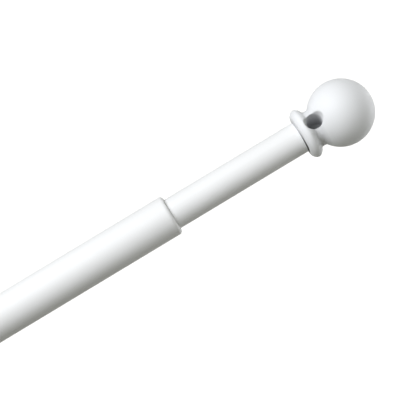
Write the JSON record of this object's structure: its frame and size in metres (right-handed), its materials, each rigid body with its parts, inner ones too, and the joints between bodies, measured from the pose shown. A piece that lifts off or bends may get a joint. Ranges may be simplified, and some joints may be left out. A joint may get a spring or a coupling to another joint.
{
  "type": "spring-loaded extending curtain rod",
  "caption": "Telescopic white curtain rod with ball finials and crossed hook holes, a twist lock and an inner spring that presses the tubes apart.",
  "frame": {"origin": "centre of the fixed finial's hook hole, on the rod's axis", "axes": "+X along the rod from the fixed finial to the one that pulls out; +Z along both hook holes, out of the mouth with the boss"},
  "size_m": [0.3048, 0.0208, 0.0208],
  "materials": {
    "white_coated_steel": "white powder coat, satin",
    "white_plastic": "moulded, soft gloss",
    "natural_plastic": "moulded, uncoloured",
    "grey_plastic": "moulded",
    "zinc_steel": "zinc plated",
    "spring_steel": "drawn wire"
  },
  "bodies": {
    "holder": {"outer_tube": "white_coated_steel", "fixed_finial": "white_plastic", "tube_adapter": "natural_plastic", "mouth_bush": "natural_plastic"},
    "brake_ring": {"lock_ring": "grey_plastic"},
    "lock": {"lock_core": "natural_plastic", "lock_shaft": "zinc_steel", "shaft_pin": "zinc_steel", "spring_seat": "zinc_steel", "spring": "spring_steel", "stop_washer": "zinc_steel", "stop_clip": "spring_steel"},
    "slider": {"inner_tube": "white_coated_steel", "moving_finial": "white_plastic", "end_bush": "natural_plastic", "bush_washer": "zinc_steel"}
  },
  "joints": [
    {"name": "length_adjust", "type": "slide", "parent": "holder", "child": "brake_ring", "axis": [1, 0, 0], "range_m": [-0.025, 0.098]},
    {"name": "twist_lock", "type": "hinge", "parent": "brake_ring", "child": "lock", "pos_m": [0, 0, 0], "axis": [1, 0, 0], "range_deg": [0, 60]},
    {"name": "spring_stroke", "type": "slide", "parent": "lock", "child": "slider", "axis": [1, 0, 0], "range_m": [-0.02, 0], "stiffness_N_per_m": 1080, "deforming": ["spring"]}
  ]
}
